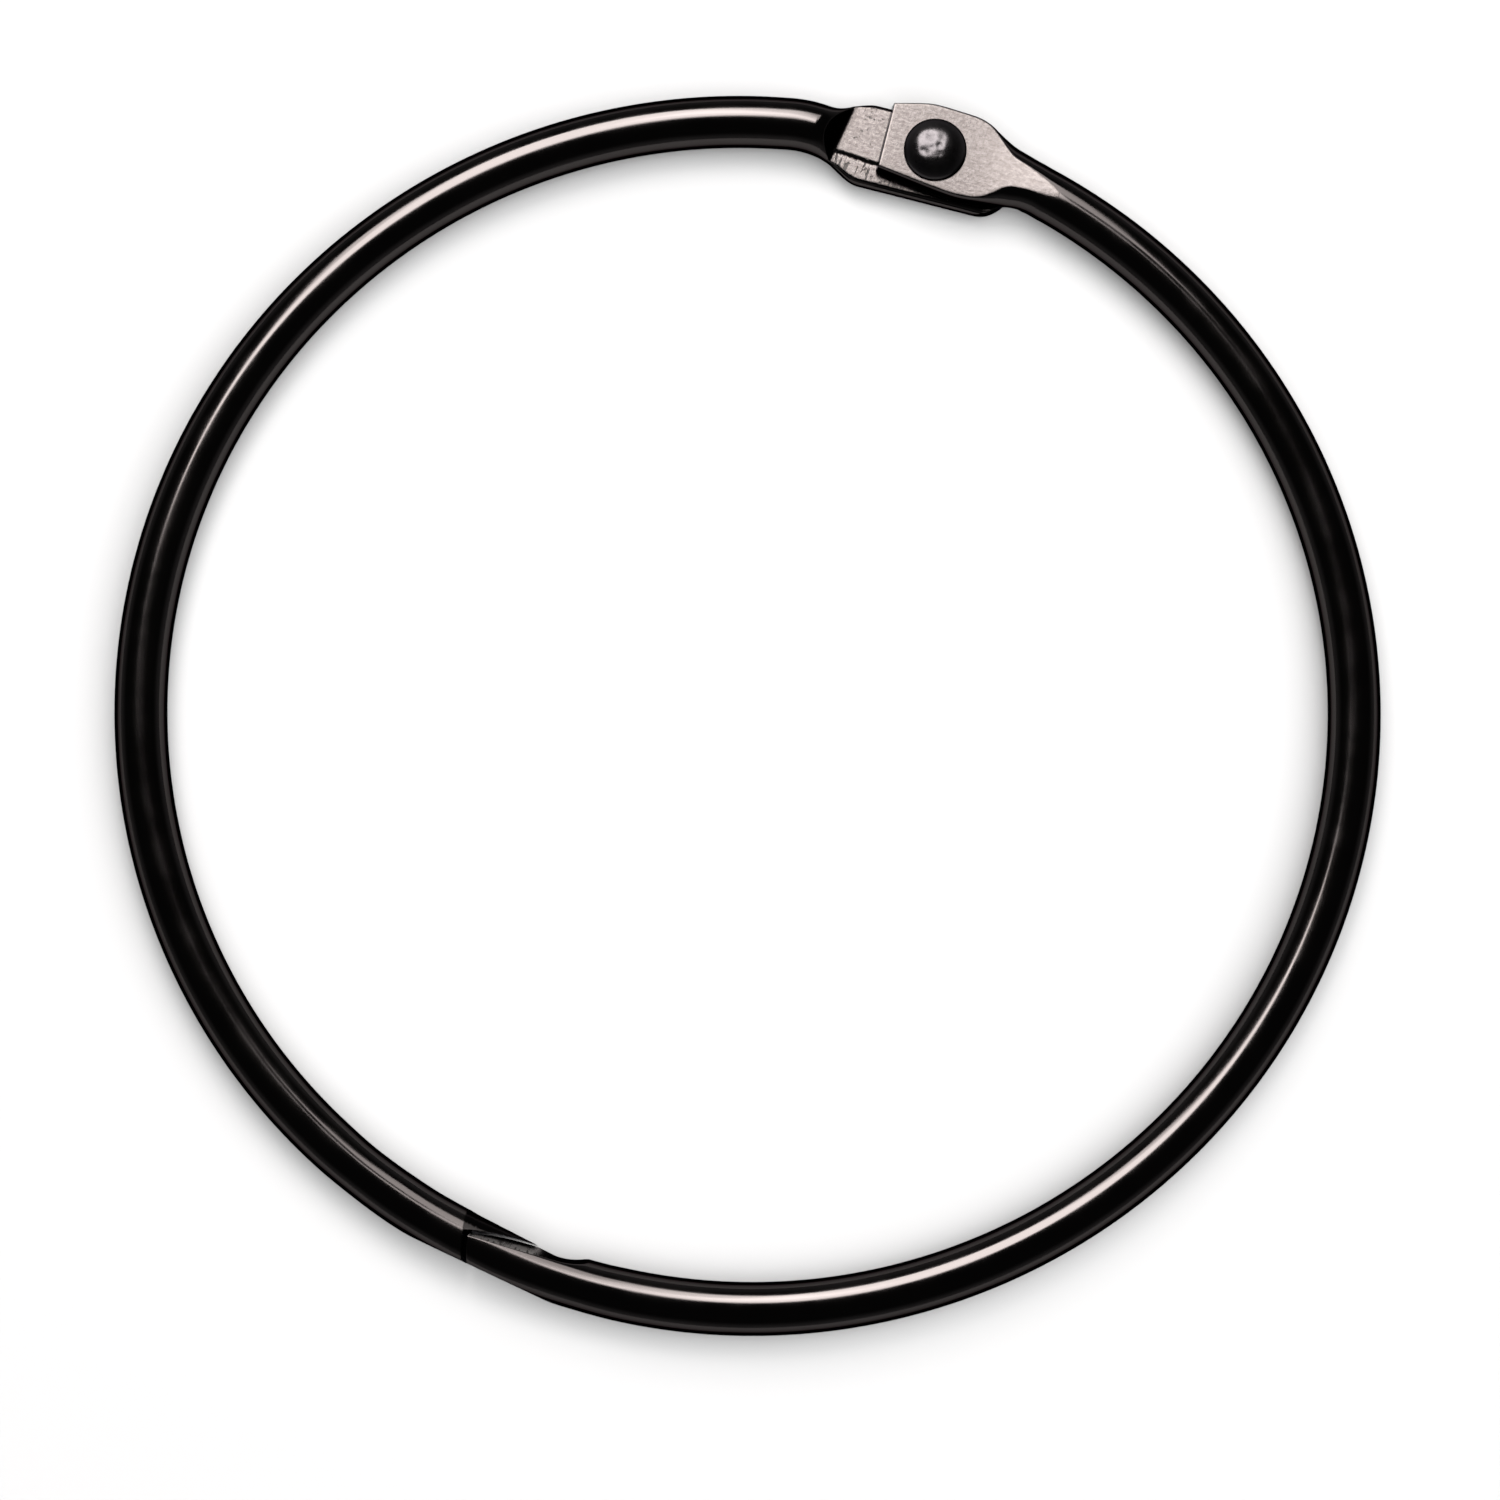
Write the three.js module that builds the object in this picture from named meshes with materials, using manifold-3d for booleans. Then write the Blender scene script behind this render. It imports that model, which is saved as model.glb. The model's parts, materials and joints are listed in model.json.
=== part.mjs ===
// Hinged snap ring: two half rings of round wire, flattened where they lap and joined by one rivet,
// with two interlocking tongues that close the ring opposite the hinge.
// Millimetres, +Z up. The closed ring lies flat, the rivet at +Y, and stands on the rivet's tail at z = 0.
// Each half is made in a hinge frame (rivet axis on the origin, lap plane at z = 0, wire leaving
// towards +X, tab above the lap plane), then placed; the left half is turned over to lie below.
import * as THREE from 'three';
import { mergeVertices } from 'three/addons/utils/BufferGeometryUtils.js';
import Module from 'manifold-3d';

const wasm = await Module();
wasm.setup();

// ---- driving dimensions ------------------------------------------------------------------------
const WIRE_DIAMETER = 3.5;
const RIVET_FROM_CENTRE = 39.4;          // ring centre to rivet axis
const RING_OFFSET_Y = -0.6;              // brings the middle of the closed ring's box to the origin

const TAB_THICKNESS = 1.4;               // each flattened lap tab
const LAP_GAP = 0.04;                    // running gap between the two tabs
const TAB_BARREL_HEIGHT = 1.2;           // half height that the tab's bulging sides would close at
const DIE_LEVEL_TO = 4.2;                // the outer die face is level up to here, then climbs out
const DIE_CLIMB = 0.075;                 // rise of the die face per mm beyond that
const SHOULDER_RUN = 1.15;               // length of the steep ramp from the lap plane to full wire
const SHOULDER_SKEW = 6.1;               // degrees that the shoulder line leans
const UPPER_TAB_END = 3.4;               // rivet to the sheared end of the upper tab
const UPPER_TAB_END_LEAN = 0.075;        // and how far that end leans per mm of width
const LOWER_TAB_END_RADIUS = 2.8;        // the lower tab's end is half round
const LOWER_TAB_END_CENTRE = [-3.05, -0.3];
const LEDGE_FROM = -1.8;                 // the lower tab's lap face steps down inward of here
const LEDGE_DEPTH = 0.12;

const SHANK_RADIUS = 1.0;
const SHANK_FIT = 0.03;                  // radial gap in the lower tab, which holds the rivet
const SHANK_RUNNING_FIT = 0.06;          // radial gap in the upper tab, which turns on it
const HEAD_RADIUS = 2.1;
const HEAD_HEIGHT = 1.17;
const HEAD_RIM = 0.3;                    // upright edge below the dome
const TAIL_RADIUS = 1.9;
const TAIL_HEIGHT = 0.7;
const TAIL_CHAMFER = 0.25;
const SEAT_GAP = 0.02;                   // between the tabs and the head or tail that holds them

const CLASP_ANGLE = -98.6;               // degrees from +X round the ring centre, at the seam
const CLASP_RADIUS = 39.58;              // ring centre to wire centre there
const SEAM_GAP = 0.35;                   // between a tongue's blunt end and the other half's shoulder
const SEAM_LEAN = 0.38;                  // the seam slants by this much per mm across the wire
const TONGUE_GAP = 0.06;                 // between the two tongues
const TONGUE_LENGTH = 4.3;               // inner tongue, seam to tip
const SPLIT_START = 0.3;                 // where the split leaves the seam, inward of the wire centre
const SPLIT_BEND = [1.5, 1.2];           // control point of the split's curve
const INNER_FLAT = 1.63;                 // the clasp is dressed flat on the inside at this depth
const FLAT_RUN_IN = 2;
const OUTER_FLAT = 1.53;                 // and lightly on the outside
const OUTER_FLAT_SLOPE = 0.036;
const RECESS_LENGTH = 5.3;               // the flat runs on past the tongue's tip to here
const RECESS_RUN_OUT = 2.3;              // and takes this long to come back to round wire
const FACET_START = 0.13;                // upper edge of the outer tongue's leaning facet at the seam
const FACET_SLOPE = 0.188;               // its way inward per mm along the tongue
const FACET_TOP_Z = 1.62;                // height at which that edge is measured
const FACET_LEAN = 0.39;                 // mm inward per mm down
const FACET_LENGTH = 5.8;

const SECTION_SIDES = 28;
const TAB_STEPS = 26;
const WIRE_STEPS = 42;
const PLAIN_WIRE_FROM = 9;               // mm from the rivet where the bar is plain wire
const FAR = 30;                          // reach of a cutter beyond the bar it cuts

// What differs between the halves, in the hinge frame. Widths are half widths of the bar, inward and
// outward of its centre line. Squareness is the superellipse power of its pressed section, 2 being an
// ellipse. A taper or rounding goes from one distance out to another. A corner is cut from one distance
// towards the tab's end, by its slope.
const RIGHT = {
  arcCentre: [0.28, 0.14],
  arcRadius: 39.8,
  arcEnd: 190.5,
  barStart: -5,
  tabCentre: 0.17,
  tabSlope: 0,
  innerWidth: 2.81,
  outerWidth: 3.03,
  tabSquareness: 3.4,
  innerCorner: [1.4, 0.065],
  outerCorner: [-1.2, 0.33],
  innerTaper: [1.8, 8.2],
  outerTaper: [1.8, 6.2],
  rounding: [3, 5.6],
  bendFrom: 3.5,
  bendTo: 8,
  shoulder: 6.3,
  holeGap: SHANK_RUNNING_FIT,
};
const LEFT = {
  arcCentre: [0.62, -0.03],
  arcRadius: 39.5,
  arcEnd: 178.6,
  barStart: -6.6,
  tabCentre: -0.33,
  tabSlope: -0.068,
  innerWidth: 2.85,
  outerWidth: 2.85,
  tabSquareness: 2.4,
  innerCorner: [0, 0],
  outerCorner: [0, 0],
  innerTaper: [4.5, 7.6],
  outerTaper: [4.5, 7.6],
  rounding: [5.6, 8.2],
  bendFrom: 6.5,
  bendTo: 10.5,
  shoulder: 6.3,
  holeGap: SHANK_FIT,
};

// ---- small tools -------------------------------------------------------------------------------
const WIRE_RADIUS = WIRE_DIAMETER / 2;
const { degToRad, lerp, smoothstep } = THREE.MathUtils;

function solid(geometry) {
  geometry.deleteAttribute('normal');
  geometry.deleteAttribute('uv');
  const merged = mergeVertices(geometry, 1e-4);
  return new wasm.Manifold(new wasm.Mesh({
    numProp: 3,
    vertProperties: new Float32Array(merged.attributes.position.array),
    triVerts: new Uint32Array(merged.index.array),
  }));
}

function node(name, body, colour, roughness) {
  const { vertProperties, triVerts } = body.getMesh();
  const geometry = new THREE.BufferGeometry();
  geometry.setAttribute('position', new THREE.BufferAttribute(vertProperties, 3));
  geometry.setIndex(new THREE.BufferAttribute(triVerts, 1));
  geometry.computeVertexNormals();
  const material = new THREE.MeshStandardMaterial({ color: colour, roughness, metalness: 1 });
  const mesh = new THREE.Mesh(geometry, material);
  mesh.name = name;
  return mesh;
}

// A closed outline in XY, raised through the whole height of the bar and leaned by `lean` per mm of z.
function cutter(shape, lean = 0) {
  const settings = { depth: 2 * FAR, bevelEnabled: false, curveSegments: 14 };
  const geometry = new THREE.ExtrudeGeometry(shape, settings).translate(0, 0, -FAR);
  return solid(geometry.applyMatrix4(new THREE.Matrix4().makeShear(0, 0, 0, 0, 0, lean)));
}

// An outline in XZ (side view), given a width along Y.
function sideCutter(points) {
  const shape = new THREE.Shape(points.map(([x, z]) => new THREE.Vector2(x, z)));
  const geometry = new THREE.ExtrudeGeometry(shape, { depth: 2 * FAR, bevelEnabled: false });
  return solid(geometry.translate(0, 0, -FAR).rotateX(Math.PI / 2));
}

// ---- the bar of one half -----------------------------------------------------------------------
// Centre line at an angle round the arc, measured from +Y towards +X.
function centreLine(half, angle) {
  const x = half.arcCentre[0] + half.arcRadius * Math.sin(angle);
  const arcY = half.arcCentre[1] - RIVET_FROM_CENTRE + half.arcRadius * Math.cos(angle);
  const tabY = half.tabCentre + half.tabSlope * x;
  const bend = Math.cos(angle) > 0 ? smoothstep(x, half.bendFrom, half.bendTo) : 1;
  return new THREE.Vector2(x, lerp(tabY, arcY, bend));
}

// The bar's section at a distance x from the rivet: wide and square in the tab, round in the wire.
function section(half, x) {
  const width = (full, taper) => lerp(full, WIRE_RADIUS, smoothstep(x, ...taper));
  const cut = ([from, slope]) => slope * Math.max(0, from - x);
  const rounding = smoothstep(x, ...half.rounding);
  return {
    inner: width(half.innerWidth, half.innerTaper) - cut(half.innerCorner),
    outer: width(half.outerWidth, half.outerTaper) - cut(half.outerCorner),
    height: lerp(TAB_BARREL_HEIGHT, WIRE_RADIUS, rounding),
    middle: lerp(TAB_THICKNESS / 2, 0, rounding),
    power: lerp(half.tabSquareness, 2, rounding),
  };
}

const squared = (value, power) => Math.sign(value) * Math.abs(value) ** (2 / power);

// A capped cylinder of unit radius, bent along the centre line and given the section at each step.
function bar(half) {
  const steps = TAB_STEPS + WIRE_STEPS;
  const geometry = new THREE.CylinderGeometry(1, 1, 1, SECTION_SIDES, steps);
  const angleAt = (x) => Math.asin((x - half.arcCentre[0]) / half.arcRadius);
  const tabStart = angleAt(half.barStart);
  const wireStart = angleAt(PLAIN_WIRE_FROM);
  const wireEnd = degToRad(half.arcEnd);
  const position = geometry.attributes.position;
  for (let i = 0; i < position.count; i++) {
    const step = (0.5 - position.getY(i)) * steps;
    const angle = step < TAB_STEPS
      ? lerp(tabStart, wireStart, step / TAB_STEPS)
      : lerp(wireStart, wireEnd, (step - TAB_STEPS) / WIRE_STEPS);
    const centre = centreLine(half, angle);
    const along = centreLine(half, angle + 1e-4).sub(centreLine(half, angle - 1e-4)).normalize();
    const shapedAs = step < TAB_STEPS ? centre.x : PLAIN_WIRE_FROM;
    const { inner, outer, height, middle, power } = section(half, shapedAs);
    const across = position.getX(i);
    const reach = squared(across, power) * (across > 0 ? outer : inner);
    const lift = middle + squared(position.getZ(i), power) * height;
    position.setXYZ(i, centre.x - along.y * reach, centre.y + along.x * reach, lift);
  }
  return solid(geometry);
}

// What the outer die takes off above the tab.
function aboveDie() {
  return sideCutter([
    [-FAR, TAB_THICKNESS],
    [DIE_LEVEL_TO, TAB_THICKNESS],
    [FAR, TAB_THICKNESS + DIE_CLIMB * (FAR - DIE_LEVEL_TO)],
    [FAR, FAR],
    [-FAR, FAR],
  ]);
}

// What the other half's tab needs below the lap plane, ending at the shoulder's ramp.
function belowLap(half) {
  const rampEnd = 1.2;
  return sideCutter([
    [-FAR, LAP_GAP / 2],
    [-FAR, -FAR],
    [half.shoulder + rampEnd * SHOULDER_RUN, -FAR],
    [half.shoulder + rampEnd * SHOULDER_RUN, -rampEnd * WIRE_RADIUS],
    [half.shoulder, LAP_GAP / 2],
  ]).rotate([0, 0, SHOULDER_SKEW]);
}

function rivetHole(half) {
  const radius = SHANK_RADIUS + half.holeGap;
  return solid(new THREE.CylinderGeometry(radius, radius, FAR, 32).rotateX(Math.PI / 2));
}

function pressed(half) {
  return bar(half).subtract(aboveDie()).subtract(belowLap(half)).subtract(rivetHole(half));
}

// The upper tab is sheared almost square, the lower one is half round.
function beyondUpperEnd() {
  const edge = (y) => -UPPER_TAB_END - UPPER_TAB_END_LEAN * y;
  const shape = new THREE.Shape();
  shape.moveTo(-FAR, -FAR);
  shape.lineTo(edge(-FAR), -FAR);
  shape.lineTo(edge(FAR), FAR);
  shape.lineTo(-FAR, FAR);
  return cutter(shape);
}

function beyondLowerEnd() {
  const [x, y] = LOWER_TAB_END_CENTRE;
  const shape = new THREE.Shape();
  shape.moveTo(-FAR, -FAR);
  shape.lineTo(x, -FAR);
  shape.absarc(x, y, LOWER_TAB_END_RADIUS, -Math.PI / 2, Math.PI / 2, true);
  shape.lineTo(x, FAR);
  shape.lineTo(-FAR, FAR);
  return cutter(shape);
}

// The shallow ledge along the inner edge of the lower tab's lap face, as far as the shoulder's ramp.
function ledge() {
  const inward = new THREE.Shape();
  inward.moveTo(-FAR, -FAR);
  inward.lineTo(FAR, -FAR);
  inward.lineTo(FAR, LEDGE_FROM);
  inward.lineTo(-FAR, LEDGE_FROM);
  return belowLap(LEFT).translate([0, 0, LEDGE_DEPTH]).intersect(cutter(inward));
}

// ---- clasp -------------------------------------------------------------------------------------
// Clasp frame: origin on the wire centre at the seam, x along the ring towards the right half, y inward.
function toClasp(body) {
  const angle = degToRad(CLASP_ANGLE);
  return body
    .rotate([0, 0, CLASP_ANGLE + 90])
    .translate([CLASP_RADIUS * Math.cos(angle), CLASP_RADIUS * Math.sin(angle), 0]);
}

// x of the seam at depth y, half the seam gap to one side of its middle.
const seamX = (y, side) => -SEAM_LEAN * y + side * SEAM_GAP / 2;

// Both halves are dressed flat on the outside of the clasp.
function outerFlat() {
  const at = (x) => -OUTER_FLAT + OUTER_FLAT_SLOPE * x;
  const shape = new THREE.Shape();
  shape.moveTo(-FAR, -FAR);
  shape.lineTo(FAR, -FAR);
  shape.lineTo(FAR, at(FAR));
  shape.lineTo(-FAR, at(-FAR));
  return cutter(shape);
}

// The left half loses all that lies outward of the split, and is dressed flat inside.
function leftClaspCut() {
  const split = new THREE.Shape();
  split.moveTo(seamX(-FAR, -1), -FAR);
  split.lineTo(FAR, -FAR);
  split.lineTo(FAR, INNER_FLAT);
  split.lineTo(TONGUE_LENGTH, INNER_FLAT);
  split.quadraticCurveTo(...SPLIT_BEND, seamX(SPLIT_START, -1), SPLIT_START);
  const flat = new THREE.Shape();
  flat.moveTo(-FLAT_RUN_IN, FAR);
  flat.lineTo(-FLAT_RUN_IN, WIRE_RADIUS);
  flat.lineTo(0, INNER_FLAT);
  flat.lineTo(FAR, INNER_FLAT);
  flat.lineTo(FAR, FAR);
  return toClasp(cutter(split).add(cutter(flat)).add(outerFlat()));
}

// The right half loses all that lies before the seam or inward of the split, and has a facet that
// leans inward going down, so that the inner tongue's edge lies against its foot.
function rightClaspCut() {
  const recessEnd = RECESS_LENGTH + RECESS_RUN_OUT;
  const wireInside = WIRE_RADIUS + recessEnd ** 2 / (2 * CLASP_RADIUS);
  const root = SPLIT_START - TONGUE_GAP;
  const flatY = INNER_FLAT - TONGUE_GAP;
  const split = new THREE.Shape();
  split.moveTo(-FAR, -FAR);
  split.lineTo(seamX(-FAR, 1), -FAR);
  split.lineTo(seamX(root, 1), root);
  split.quadraticCurveTo(SPLIT_BEND[0], SPLIT_BEND[1] - TONGUE_GAP, TONGUE_LENGTH, flatY);
  split.lineTo(RECESS_LENGTH, flatY);
  split.quadraticCurveTo(RECESS_LENGTH + RECESS_RUN_OUT / 2, flatY, recessEnd, wireInside);
  split.lineTo(recessEnd, FAR);
  split.lineTo(-FAR, FAR);
  const facetAt = (x) => FACET_START + FACET_SLOPE * x + FACET_LEAN * FACET_TOP_Z;
  const facet = new THREE.Shape();
  facet.moveTo(-1, facetAt(-1));
  facet.lineTo(FACET_LENGTH, facetAt(FACET_LENGTH));
  facet.quadraticCurveTo(FACET_LENGTH + 1, facetAt(FACET_LENGTH + 1), recessEnd, wireInside);
  facet.lineTo(recessEnd, FAR);
  facet.lineTo(-1, FAR);
  return toClasp(cutter(split).add(cutter(facet, -FACET_LEAN)).add(outerFlat()));
}

// ---- the three pieces --------------------------------------------------------------------------
function halfRingRight() {
  return pressed(RIGHT)
    .subtract(beyondUpperEnd())
    .translate([0, RIVET_FROM_CENTRE, 0])
    .subtract(rightClaspCut());
}

function halfRingLeft() {
  return pressed(LEFT)
    .subtract(beyondLowerEnd())
    .subtract(ledge())
    .rotate([0, 180, 0])
    .translate([0, RIVET_FROM_CENTRE, 0])
    .subtract(leftClaspCut());
}

function hingeRivet() {
  const seat = TAB_THICKNESS + SEAT_GAP;
  const domeHeight = HEAD_HEIGHT - HEAD_RIM;
  const domeRadius = (HEAD_RADIUS ** 2 + domeHeight ** 2) / (2 * domeHeight);
  const profile = new THREE.Path();
  profile.moveTo(0, -seat - TAIL_HEIGHT);
  profile.lineTo(TAIL_RADIUS - TAIL_CHAMFER, -seat - TAIL_HEIGHT);
  profile.lineTo(TAIL_RADIUS, -seat - TAIL_HEIGHT + TAIL_CHAMFER);
  profile.lineTo(TAIL_RADIUS, -seat);
  profile.lineTo(SHANK_RADIUS, -seat);
  profile.lineTo(SHANK_RADIUS, seat);
  profile.lineTo(HEAD_RADIUS, seat);
  profile.lineTo(HEAD_RADIUS, seat + HEAD_RIM);
  profile.absarc(0, seat + HEAD_HEIGHT - domeRadius, domeRadius,
    Math.acos(HEAD_RADIUS / domeRadius), Math.PI / 2, false);
  const geometry = new THREE.LatheGeometry(profile.getPoints(5), 30);
  return solid(geometry.rotateX(Math.PI / 2)).translate([0, RIVET_FROM_CENTRE, 0]);
}

const ring = new THREE.Group();
ring.position.set(0, RING_OFFSET_Y, TAB_THICKNESS + SEAT_GAP + TAIL_HEIGHT);
ring.add(node('half_ring_left', halfRingLeft(), 0x26262a, 0.25));
ring.add(node('half_ring_right', halfRingRight(), 0x26262a, 0.25));
ring.add(node('hinge_rivet', hingeRivet(), 0x3a3a3e, 0.3));

export default new THREE.Group().add(ring);
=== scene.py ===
import json
import math

import bpy
import numpy as np
from mathutils import Matrix, Vector


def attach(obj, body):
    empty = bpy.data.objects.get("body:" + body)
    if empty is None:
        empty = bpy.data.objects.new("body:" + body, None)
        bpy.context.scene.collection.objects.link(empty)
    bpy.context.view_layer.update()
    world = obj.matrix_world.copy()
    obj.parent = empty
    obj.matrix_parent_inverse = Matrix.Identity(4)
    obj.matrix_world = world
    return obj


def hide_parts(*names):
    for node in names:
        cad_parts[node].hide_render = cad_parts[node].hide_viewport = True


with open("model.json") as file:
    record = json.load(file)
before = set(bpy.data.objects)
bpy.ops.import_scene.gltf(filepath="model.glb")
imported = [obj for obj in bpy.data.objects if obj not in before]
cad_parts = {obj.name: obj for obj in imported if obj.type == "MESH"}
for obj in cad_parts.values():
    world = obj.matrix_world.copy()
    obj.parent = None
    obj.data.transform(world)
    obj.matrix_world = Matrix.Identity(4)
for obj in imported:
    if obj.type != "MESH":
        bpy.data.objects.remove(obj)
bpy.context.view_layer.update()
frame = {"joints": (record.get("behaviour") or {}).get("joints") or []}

MM = 0.001
RIVET_FROM_CENTRE = 39.4
HINGE = np.array(frame["joints"][0]["pos_m"])
CENTRE = HINGE - (0, RIVET_FROM_CENTRE * MM, 0)

# ---- wire, tabs and rivet ----------------------------------------------------------------------
WIRE_RADIUS = 1.75
TAB_THICKNESS = 1.4
HALF_LAP_GAP = 0.02
TAB_BARREL_HEIGHT = 1.2          # half height of the tab's bulged sides
DIE_LEVEL_TO = 4.2               # mm from the rivet, where the die's face starts to climb
DIE_CLIMB = 0.075
DIE_FILLET = 2.5
SHOULDER = 6.3                   # rivet to the foot of the shoulder's ramp
SHOULDER_FALL = 1.52             # the ramp's slope
SHOULDER_LEAN = -0.107           # how far the shoulder line leans per mm of width
SHOULDER_FILLET = 0.05
SHOULDER_ZONE = (5.8, 8.6)       # mm from the rivet, where sections are closest
SKEW_TURNS = (0, 5)              # sections turn from the tab's sheared end to the shoulder's line
CORNER_FILLET = 0.8
PLAIN_WIRE_FROM = 9
WIRE_STARTS = 13                 # mm from the rivet, where sections start to be plain wire
FACES_END = WIRE_STARTS - 0.2    # and where the last section with pressed faces is
UPPER_TAB_END = 3.4
UPPER_TAB_END_LEAN = -0.075
UPPER_TAB_END_TIP = 0.14         # it was sheared leaning back, by this much per mm of height
LOWER_TAB_END_RADIUS = 2.8
LOWER_TAB_END_CENTRE = (-3.05, -0.3)
LEDGE_FROM = -1.8                # inward of this line the lower tab's lap face steps down
LEDGE_STOPS = 0.1                # mm beyond the shoulder's foot
LEDGE_DEPTH = 0.12
LEDGE_EDGE = 0.07
LEDGE_GROOVE = 0.05
NEAR_LAP = 0.2                   # points this close to the lap face belong to it
SHANK_RADIUS = 1.0
HEAD_RADIUS = 2.1
HEAD_RIM = 0.3                   # height of the head's rim, where the dome starts
TAIL_RADIUS = 1.9
TAIL_HEIGHT = 0.7
SEAT_GAP = 0.02
DOME_RADIUS = 2.75
DOME_TOP = 89.4                  # degrees up the dome, where its last ring of points is
HEAD_EDGE = 0.1
TAIL_EDGE = 0.25
SMALL_EDGE = 0.05
SPOT_FILLET = 0.15
SPOT_DEPTH = 2.6                 # centre of the dome's sphere to the plane of the struck spot
SPOT_OFFSET = (-0.3, 0.04)
SPOT_FULL = 0.06                 # mm below the dome, where the spot has all of its look
DENTS = (                        # x, y, size and depth of dents in the struck spot
    (-0.9, 0.4, 0.34, 0.06), (0.24, 0.1, 0.24, 0.06), (-0.2, -0.2, 0.15, 0.02),
    (-0.65, -0.6, 0.34, 0.07), (0.5, -0.45, 0.3, 0.06), (0.3, 0.75, 0.3, 0.06),
)

# ---- clasp, in a frame with x along the ring towards the right half and y inward ---------------
CLASP_ANGLE = math.radians(-98.6)
CLASP_RADIUS = 39.58
SEAM_GAP = 0.35
SEAM_LEAN = 0.38                 # how far it runs along the ring per mm outward
SEAM_TIP = 0.12                  # and per mm of height
SEAM_ZONE = (0.8, 5.5)           # sections turn from the seam's lean to square
TONGUE_GAP = 0.06
TONGUE_LENGTH = 4.3
TONGUE_SHOWN = 4.28              # the inner tongue is cut blunt just before it runs out to nothing
SPLIT_START = 0.3                # y where the seam turns into the split between the tongues
SPLIT_BEND = (1.5, 1.2)
INNER_FLAT = 1.63
FLAT_RUN_IN = 2
OUTER_FLAT = 1.53
OUTER_FLAT_SLOPE = 0.036
RECESS_LENGTH = 5.3              # of the outer tongue, where the inner one lies
RECESS_RUN_OUT = 2.3
RECESS_END = RECESS_LENGTH + RECESS_RUN_OUT
DRESSED_TO = RECESS_END + 4
FACET_START = 0.13
FACET_SLOPE = 0.188
FACET_TOP_Z = 1.62
FACET_LEAN = 0.39
FACET_LENGTH = 5.8
FACET_ROOM = 0.3                 # how far under the facet a section's inside point is
GROUND_FADES = (3.9, 5.2)        # the facet's finish turns from ground to scored
TONGUE_PAINTED_SHADE = 0.8                # how much painted shade darkens the inner tongue, which lies turned away from the light
ANCHOR_ZONE = (-4, -0.6)         # mesh points gather at the split, before the inner tongue starts
ANCHOR_SLACK = 0.02
CLASP_ZONE = (7.6, 12)           # sections turn from the clasp's cross direction to the wire's own
FAR = 30                         # beyond both ends of the clasp

# The bar of each half. Ranges are mm from the rivet: over them the centre line bends from the tab's
# to the ring's, and the section and each side's width turn from the tab's to the wire's. A corner
# narrows a side before its first number, by its second for each mm.
RIGHT = {
    "side": 1, "arc_centre": (0.28, 0.14), "arc_radius": 39.8,
    "tab_centre": 0.17, "tab_slope": 0, "squareness": 3.4, "bend": (3.5, 8), "rounding": (3, 5.6),
    "inner_width": 2.81, "inner_corner": (1.4, 0.065), "inner_taper": (1.8, 8.2),
    "outer_width": 3.03, "outer_corner": (-1.2, 0.33), "outer_taper": (1.8, 6.2),
    "hole_gap": 0.06,
}
LEFT = {
    "side": -1, "arc_centre": (0.62, -0.03), "arc_radius": 39.5,
    "tab_centre": -0.33, "tab_slope": -0.068, "squareness": 2.4, "bend": (6.5, 10.5),
    "rounding": (5.6, 8.2),
    "inner_width": 2.85, "inner_corner": (0, 0), "inner_taper": (4.5, 7.6),
    "outer_width": 2.85, "outer_corner": (0, 0), "outer_taper": (4.5, 7.6),
    "hole_gap": 0.03,
}

# ---- how a face was finished; drawn wire is 0 --------------------------------------------------
PRESSED = 1                      # by a polished die
LAPPED = 1.5                     # rubbed by the other tab
SCORED = 2                       # by a tool, across the face
GROUND = 3                       # by a wheel

# ---- fineness ----------------------------------------------------------------------------------
POINTS_ROUND = 192               # mesh points round each section
DIRECTIONS = 1440                # directions in which a section's outline is worked out
SECTION_REACH = 9.0              # mm, further than any outline
HALVINGS = 36                    # steps in which the distance to an outline is found
CORNER_POWER = 70                # how tightly corners are rounded
CORNER_SHARE = 0.8               # mm that one radian of turn counts as, when points are spread
END_FILLET = 0.02
SEAM_FILLET = 0.03
ROUNDING_STEPS = 4               # between the sections of a rounded end
HALF_ROUND_STEPS = 25            # and of the lower tab's half-round end
HALF_ROUND_FROM = 86             # degrees round that end, where its first section is
HALF_ROUND_POWER = 0.8
TAB_STEP = 0.12                  # mm between sections, from the tab to the clasp
SHOULDER_STEP = 0.04
BEND_STEP = 0.15
WIRE_STEP = 0.7
CLASP_STEP = 0.1
CURVE_POINTS = 60
BORE_SIDES = 96
BORE_REACH = 3                   # mm above and below the lap face
RIVET_SIDES = 144


def smooth(x, start, stop):
    """A smooth step from 0 at start to 1 at stop."""
    t = min(max((x - start) / (stop - start), 0), 1)
    return t * t * (3 - 2 * t)


def mix(a, b, t):
    return a + (b - a) * t


def climb(x, fillet):
    """x where it is positive and 0 where it is negative, rounded where the two meet."""
    return 0.5 * (x + math.hypot(x, fillet))


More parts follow.
